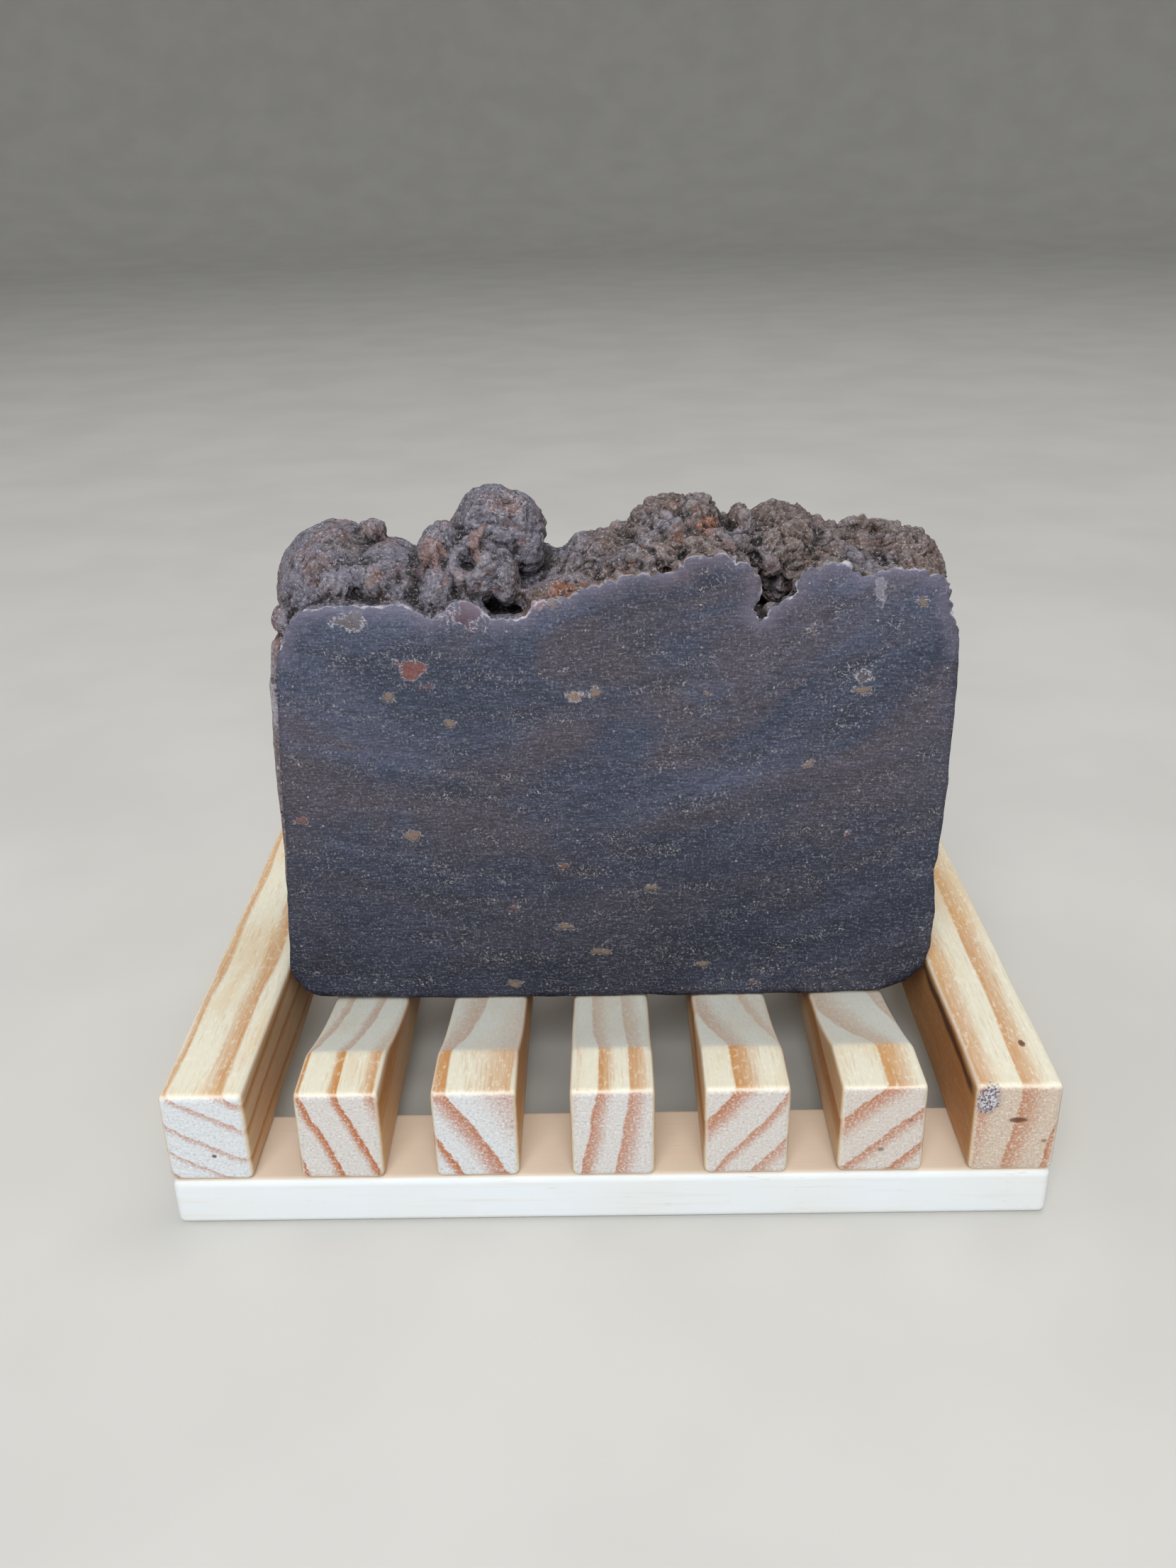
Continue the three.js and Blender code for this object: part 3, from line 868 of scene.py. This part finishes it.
print("rim edges", slice_flat(bar, -HALF_THICK, -1), slice_flat(bar, HALF_THICK, 1))
triangle_count = sum(len(f.verts) - 2 for f in bar.faces)
print("cut bar", len(bar.verts), "vertices,", triangle_count, "triangles")

# %% [markdown]
# ## What the skin knows about itself
#
# Some things about a place on the bar cannot be read from its position alone.
# They are measured once on the mesh and kept as attributes for the finishes:
# `hollow` (how deep it lies in a crease), `sunk` (how deep between lumps) and
# `rim` (how far from the cut's crumbly upper edge, where soda ash blooms).

# %% Measure hollows and the ashy rim
HOLLOW_ROUNDS, SUNK_ROUNDS = 8, 120
RIM_FAR = 10.0

bmesh.ops.delete(bar, geom=[v for v in bar.verts if not v.link_faces], context="VERTS")
bar.verts.index_update()
bar.verts.ensure_lookup_table()
bar.normal_update()
points = np.array([v.co for v in bar.verts])
normals = np.array([v.normal for v in bar.verts])
ends = np.array([(e.verts[0].index, e.verts[1].index) for e in bar.edges])
count = np.bincount(ends.ravel(), minlength=len(points))


def depth_below(rounds):
    """How far each place lies below the skin ironed smooth for some rounds."""
    calm = points.copy()
    for _ in range(rounds):
        total = np.zeros_like(calm)
        for axis in range(3):
            total[:, axis] = (np.bincount(ends[:, 0], calm[ends[:, 1], axis], len(points))
                              + np.bincount(ends[:, 1], calm[ends[:, 0], axis], len(points)))
        calm = total / count[:, None]
    return np.einsum("ij,ij->i", calm - points, normals) / MM


depths = {"hollow": depth_below(HOLLOW_ROUNDS), "sunk": depth_below(SUNK_ROUNDS)}
for name, depth in depths.items():
    print("%s from %.2f to %.2f mm" % (name, depth.min(), depth.max()))

rim_verts = dict.fromkeys(
    v for e in bar.edges if len({f.material_index for f in e.link_faces}) == 2 for v in e.verts)
upper = [v.co for v in rim_verts if v.co.z > CROWN_FROM * MM]
tree = KDTree(len(upper))
for index, spot in enumerate(upper):
    tree.insert(spot, index)
tree.balance()
layers = {name: bar.verts.layers.float.new(name) for name in ("hollow", "sunk", "rim")}
for v in bar.verts:
    for name, depth in depths.items():
        v[layers[name]] = float(depth[v.index])
    v[layers["rim"]] = min(RIM_FAR, tree.find(v.co)[2] / MM)
print("ashy rim:", len(upper), "corners")

# %% [markdown]
# ## The soap's two finishes
#
# The cut face is a smooth dark slate grey with the history of the batter in it:
# slow swooping bands, a cloud of purple-brown, fine scratches from the wire,
# a dust of pale specks and thin curls of lighter soap. The crust is the same
# soap dried in air: browner and rusty, amber in the hollows, with fine
# striations where it folded. On the crust, creases, gaps between lumps, the
# furrows of the striations, low grains and pits are darkened as painted shade,
# and ridges, crests and raised grains are lightened as painted highlight.
#
# Most of this comes from noises, but a few chips and stains have a place of
# their own, and so do two spots of painted shade on the crust: the dark of the
# crevice under the left lip and of a burst bubble's hole. Each of these is an
# egg of colour with a frayed outline, and some have a pale ring where it dried.

# %% Stains and spots of painted shade, each with a name and a place
def stains_and_shade(f, colour, marks, grain):
    """Paints blots with a frayed outline, each with its own pale ring: stains, and a few spots of
    painted shade.
    """
    frayed = f.cloud(f.spot, 0.7, 2.0, 0.6)
    for middle, half, tint, strength, ring in marks:
        reach = f.near(middle, half) + (grain - 0.5) * 1.0 + (frayed - 0.5) * 2.6
        inside = f.ease(reach, 1.0, 0.6) * f.ease(grain, 0.30, 0.55, 0.45, 1.0)
        colour = f.mix(inside * strength, colour, tint)
        dried = f.ease((reach - 0.9).size(), 0.24, 0.06) * f.ease(grain, 0.44, 0.6)
        colour = f.mix(dried * ring, colour, ASH)
    return colour


ASH = paint(205, 202, 212)
# The near-black below is painted shade, for creases, gaps between lumps, holes and the low grains
# of the crust.
CREVICE_SHADE = paint(26, 20, 20)
FLESH = paint(144, 106, 96)
RUST = paint(158, 90, 52)
# Each is: middle, half sizes, colour, strength, strength of the pale ring.
FACE_MARKS = [
    ((-24.0, -12, 64.2), (1.8, 2, 1.4), paint(136, 84, 76), 0.8, 0.5),
    ((-22.2, -12, 62.0), (1.4, 2, 1.0), paint(104, 72, 70), 0.6, 0.2),
    ((-30.8, -12, 70.6), (2.1, 2, 1.2), paint(122, 112, 104), 0.6, 0.7),
    ((-3.4, -12, 60.0), (1.1, 2, 0.9), paint(160, 132, 112), 0.7, 0.6),
    ((33.0, -12, 62.3), (1.2, 2, 0.9), paint(118, 104, 100), 0.5, 0.7),
    ((34.5, -12, 73.1), (0.7, 2, 1.7), paint(170, 166, 178), 0.5, 0.4),
    ((-16.6, -12, 71.5), (2.9, 2, 1.9), paint(110, 84, 94), 0.8, 0.7),
    ((-7.4, -12, 72.6), (1.0, 2, 1.0), paint(168, 120, 116), 0.7, 0.6),
]
CRUST_MARKS = [
    ((-15.1, -9.0, 80.0), (1.4, 3.0, 2.6), FLESH, 0.8, 0.0),
    ((-20.9, -7.6, 78.0), (2.1, 3.0, 2.2), FLESH, 0.75, 0.2),
    ((-19.4, -9.0, 74.3), (0.8, 2.5, 1.8), FLESH, 0.6, 0.0),
    ((-28.2, -9.0, 75.2), (1.5, 3.0, 1.3), paint(142, 106, 96), 0.6, 0.2),
    ((-11.8, 0.0, 82.6), (2.4, 5.0, 1.3), paint(148, 106, 90), 0.5, 0.3),
    ((-4.2, -9.0, 73.4), (3.6, 3.0, 1.0), RUST, 0.6, 0.0),
    ((13.8, -3.0, 79.9), (1.8, 5.0, 1.0), RUST, 0.7, 0.0),
    ((-41.2, -8.5, 68.6), (1.6, 3.0, 2.4), paint(134, 92, 86), 0.7, 0.5),
    # These two are painted shade, not stains: the dark of the crevice under the left lip and of the
    # burst bubble's hole.
    ((-30.4, -9.4, 72.8), (3.2, 3.0, 0.7), CREVICE_SHADE, 0.85, 0.0),
    ((-16.6, -9.4, 77.4), (1.1, 3.0, 0.8), CREVICE_SHADE, 0.95, 0.0),
]
print("placed stains:", len(FACE_MARKS) + len(CRUST_MARKS))


# %% The cut face
SLATE = paint(54, 60, 78)
SLATE_LIGHT = paint(86, 91, 114)
PLUM = paint(84, 73, 78)
INK = paint(22, 25, 36)
CRUMB = paint(196, 190, 196)
SWEEP_X, SWEEP_Z, SWEEP_ARC = -14.0, 150.0, 100.0


def cut_face(name):
    f = Finish(name)
    x, y, z = f.axes(f.spot)
    rim = f.attribute("rim")
    dx, dz = x - SWEEP_X, SWEEP_Z - z
    angle = f.node("ShaderNodeMath", {"operation": "ARCTAN2"}, {0: dx, 1: dz})
    sweep = f.node("ShaderNodeCombineXYZ", None,
                   {"X": angle * SWEEP_ARC, "Y": y, "Z": (dx * dx + dz * dz) ** 0.5})
    drift = f.streaks(sweep, (0.022, 0.05, 0.085), 5.0, 0.55, 0.6)
    other = f.stretch(sweep, move=(9, 4, 2), scale=(0.035, 0.05, 0.09))
    brown = f.cloud(other, 1.0, 3.0, 0.6, 0.5)
    dashes = f.cloud(f.stretch(f.spot, turn=(0, 3, 0), scale=(0.8, 0.8, 5.0)), 1.0, 3.0, 0.65)
    grain = f.cloud(f.spot, 3.0, 3.0, 0.75)
    low = f.ease(z, 12, 55)
    colour = f.mix(f.ease(drift, 0.36, 0.66), SLATE, SLATE_LIGHT)
    colour = f.mix(f.ease(brown, 0.46, 0.66) * (low * 0.4 + 0.3), colour, PLUM)
    colour = f.mix((1 - low) * 0.6, colour, INK)
    colour = f.mix(f.ease(dashes, 0.50, 0.36) * 0.42, colour, INK)
    colour = f.mix(f.ease(dashes, 0.54, 0.70) * 0.24, colour, paint(146, 150, 166))
    colour = f.mix(f.ease(grain, 0.48, 0.34) * 0.5, colour, INK)
    colour = f.mix(f.ease(grain, 0.54, 0.70) * 0.5, colour, paint(158, 160, 178))

    drag = f.stretch(sweep, scale=(0.10, 0.10, 0.34))
    flock = f.cloud(drag, 1.0, 5.0, 0.7)
    shade = f.cloud(f.stretch(drag, move=(0, 0, 0.18)), 1.0, 5.0, 0.7)
    colour = f.mix(f.ease(shade, 0.55, 0.72) * 0.45, colour, INK)
    curl = f.cloud(f.spot, 0.6, 3.0, 0.65, 1.4)
    curl = f.ease((curl - 0.5).size(), 0.030, 0.008) * f.ease(flock, 0.50, 0.60)
    curl = curl * f.ease(grain, 0.44, 0.56)
    cell = f.cells(f.spot, 0.62)
    chosen, *_ = f.axes(f.cells(f.spot, 0.62, out="Color"))
    dot = f.ease(cell + (grain - 0.5) * 0.2, 0.13, 0.05) * f.ease(chosen, 0.70, 0.74)
    colour = f.mix(curl.most(dot * 0.8) * 0.75, colour, CRUMB)

    wobble = f.warp(f.stretch(f.spot, move=(3.3, 0, 1.7), scale=(0.8, 1, 1.25)), 0.8, 2.2)
    rough_cell = f.cells(wobble, 0.19) + (grain - 0.5) * 0.10
    picked, hue, _ = f.axes(f.cells(wobble, 0.19, out="Color"))
    picked = f.ease(picked, 0.60, 0.66)
    chip = f.ease(rough_cell, 0.17, 0.09) * picked
    ring = f.ease((rough_cell - 0.16).size(), 0.03, 0.008) * picked * f.ease(grain, 0.45, 0.6)
    chip_colour = f.mix(hue, paint(132, 88, 74), paint(150, 128, 108))
    colour = f.mix(chip * 0.6, colour, chip_colour)
    colour = f.mix(ring * 0.5, colour, CRUMB)

    colour = stains_and_shade(f, colour, FACE_MARKS, grain)
    frayed = rim + (f.cloud(f.spot, 0.8, 3.0, 0.6) - 0.5) * 1.6
    colour = f.mix(f.ease(frayed, 2.6, 0.2) * 0.35, colour, paint(130, 120, 138))
    broken = f.ease(f.cloud(f.spot, 0.45, 3.0), 0.42, 0.60, 0.10, 0.75)
    colour = f.mix(f.ease(frayed, 0.22, -0.10) * broken, colour, ASH)
    height = dashes * 0.5 + grain * 0.35 + curl.most(dot) * 0.9 + chip * 0.8 - shade * 0.3
    return f.shade(Base_Color=colour, Roughness=f.ease(grain, 0.3, 0.7, 0.5, 0.75),
                   Specular_IOR_Level=0.35, Normal=f.bump(height, 0.2, 0.8))


# %% The crust
CRUST_GREY = paint(118, 114, 127)
CRUST_BROWN = paint(110, 93, 86)
CRUST_SIDE = paint(112, 98, 98)
AMBER = paint(150, 92, 52)


def crust(name):
    f = Finish(name)
    x, _, z = f.axes(f.spot)
    hollow, sunk, rim = (f.attribute(name) for name in ("hollow", "sunk", "rim"))
    slow = f.cloud(f.spot, 0.085, 1.0, 0.4)
    small = f.cloud(f.spot, 0.5, 2.0, 0.5)
    strata = f.node("ShaderNodeTexNoise", {"noise_dimensions": "1D"}, {
        "W": slow * 30 + small * 3.0, "Scale": 1.0, "Detail": 3.0, "Roughness": 0.7})
    crown = f.ease(z, 64, 71)
    layered = f.ease(f.cloud(f.stretch(f.spot, move=(5, 9, 1)), 0.16, 2.0), 0.38, 0.6) * crown
    patch = f.cloud(f.spot, 0.13, 3.0, 0.6)
    grit = f.cloud(f.spot, 2.6, 4.0, 0.72)
    middle = f.ease((x - 3).size(), 20, 9)
    warm = f.ease(x, -10, 1)
    brown = f.ease(patch + (warm - 0.5) * 0.24, 0.40, 0.66)
    colour = f.mix(brown, CRUST_GREY, CRUST_BROWN)
    colour = f.mix((1 - crown) * 0.75, colour, CRUST_SIDE)
    bloom = f.ease(f.streaks(f.spot, (0.10, 0.16, 0.10), 5.0, 0.7), 0.52, 0.72)
    colour = f.mix(bloom * (1 - crown) * 0.45, colour, ASH)
    # Pits on the moulded sides are painted dark: painted shade in holes that are only bumps.
    pits = f.ease(f.cells(f.warp(f.spot, 0.8, 0.8), 0.32), 0.20, 0.08)
    colour = f.mix(pits * (1 - crown) * 0.7, colour, paint(62, 44, 44))
    # Dark along the furrows of the striations and pale on their crests: painted shade and painted
    # highlight of the folds.
    furrow_shade = f.ease(strata, 0.52, 0.34) * (0.06 + 0.64 * layered)
    colour = f.mix(furrow_shade, colour, paint(46, 40, 44))
    crest_highlight = f.ease(strata, 0.55, 0.75) * (0.04 + 0.38 * layered)
    colour = f.mix(crest_highlight, colour, paint(158, 148, 152))
    gold = f.ease(f.cloud(f.spot, 0.35, 3.0, 0.65), 0.56, 0.66) * f.ease(hollow, -0.15, 0.2) * crown
    gold = gold * (middle * 0.6 + 0.3)
    colour = f.mix(gold, colour, AMBER)
    ruddy = f.ease(f.cloud(f.stretch(f.spot, move=(2, 7, 4)), 0.22, 3.0, 0.6), 0.52, 0.66)
    colour = f.mix(ruddy * 0.45, colour, paint(124, 88, 80))
    colour = stains_and_shade(f, colour, CRUST_MARKS, grit)
    # Painted shade: darker in the creases and in the gaps between lumps.
    colour = f.mix(f.ease(hollow, -0.02, 0.28) * 0.9, colour, CREVICE_SHADE)
    colour = f.mix(f.ease(sunk, -0.3, 1.2) * 0.9, colour, CREVICE_SHADE)
    # Raised grains are painted pale and low grains near-black, following the bump's own noise:
    # painted highlight and painted shade of the grain.
    colour = f.mix(f.ease(grit, 0.53, 0.68) * 0.65, colour, paint(200, 193, 197))
    colour = f.mix(f.ease(grit, 0.48, 0.33) * 0.8, colour, CREVICE_SHADE)
    # Ridges are painted lighter: a painted highlight.
    colour = f.mix(f.ease(hollow, -0.08, -0.4) * 0.4, colour, paint(160, 152, 156))
    colour = f.mix(f.ease(rim + (grit - 0.5) * 0.8, 0.45, 0.0) * 0.4, colour, ASH)
    height = strata * (0.15 + 0.55 * crown) + grit * 0.45 - pits * (1 - crown) * 0.7
    rough = f.ease(grit, 0.3, 0.7, 0.5, 0.78) - gold * 0.25
    return f.shade(Base_Color=colour, Roughness=rough, Specular_IOR_Level=0.4,
                   Normal=f.bump(height, 0.55, 1.0))


# %% Set the bar down
set_down("soap_bar_cut", bar, [crust("soap_crust"), cut_face("soap_cut_face")], "soap",
         ["soap_bar"], weighted=False)

# %% [markdown]
# ## The studio
#
# The floor is a wide pale disc that turns up into a wall far away, spun from
# one bent line, so that no view shows a hard horizon. One broad lamp above and
# in front does most of the work, another hangs high behind, a weak one fills
# from the left, and the sky is a cool white. All are broad, for soft shadows.

# %% Floor
def floor_finish(name):
    f = Finish(name)
    mottle = f.cloud(f.spot, 0.02, 3.0)
    colour = f.mix(f.ease(mottle, 0.3, 0.7), paint(206, 203, 198), paint(200, 197, 192))
    return f.shade(Base_Color=colour, Roughness=0.75, Specular_IOR_Level=0.2)


FLOOR_INNER, FLOOR_FLAT, FLOOR_WALL, FLOOR_HIGH = 0.4, 1.6, 2.2, 1.2
BEND_STEPS, SPIN_STEPS = 10, 64

bm = bmesh.new()
profile = [(0.0, 0.0), (FLOOR_INNER, 0.0), (FLOOR_FLAT, 0.0)]
bend = FLOOR_WALL - FLOOR_FLAT
profile += [(FLOOR_FLAT + bend * math.sin(a), bend * (1 - math.cos(a)))
            for a in (math.pi / 2 * k / BEND_STEPS for k in range(1, BEND_STEPS + 1))]
profile.append((FLOOR_WALL, FLOOR_HIGH))
line = [bm.verts.new((r, 0, z)) for r, z in profile]
edges = [bm.edges.new(pair) for pair in zip(line, line[1:])]
bmesh.ops.spin(bm, geom=line + edges, cent=(0, 0, 0), axis=(0, 0, 1), angle=2 * math.pi,
               steps=SPIN_STEPS, use_merge=True)
bmesh.ops.remove_doubles(bm, verts=bm.verts, dist=1e-6)
bmesh.ops.recalc_face_normals(bm, faces=bm.faces)
floor = make_object("floor", bm, [floor_finish("floor_paint")])

# %% Lamps and sky
LAMP_AIM = Vector((0, 0, 0.035))
SKY_COLOUR, SKY_STRENGTH = (0.93, 0.97, 1.0, 1), 0.32


def lamp(name, place, size, power, colour):
    made = bpy.data.objects.new(name, bpy.data.lights.new(name, "AREA"))
    made.data.shape, made.data.size = "SQUARE", size
    made.data.energy, made.data.color = power, colour
    bpy.context.scene.collection.objects.link(made)
    aim = (LAMP_AIM - Vector(place)).to_track_quat("-Z", "Y").to_matrix().to_4x4()
    made.matrix_world = Matrix.Translation(place) @ aim


lamp("key_lamp", (-0.05, -0.62, 0.60), 0.5, 6.2, (0.95, 0.985, 1.0))
lamp("fill_lamp", (-0.8, 0.1, 0.5), 0.6, 0.8, (0.95, 0.98, 1.0))
lamp("top_lamp", (0.20, 0.20, 1.0), 0.7, 3.6, (1.0, 0.99, 0.97))

sky = bpy.data.worlds.new("sky")
sky.use_nodes = True
glow = sky.node_tree.nodes["Background"].inputs
glow["Color"].default_value = SKY_COLOUR
glow["Strength"].default_value = SKY_STRENGTH
bpy.context.scene.world = sky
print("lamps", len(bpy.data.lights))
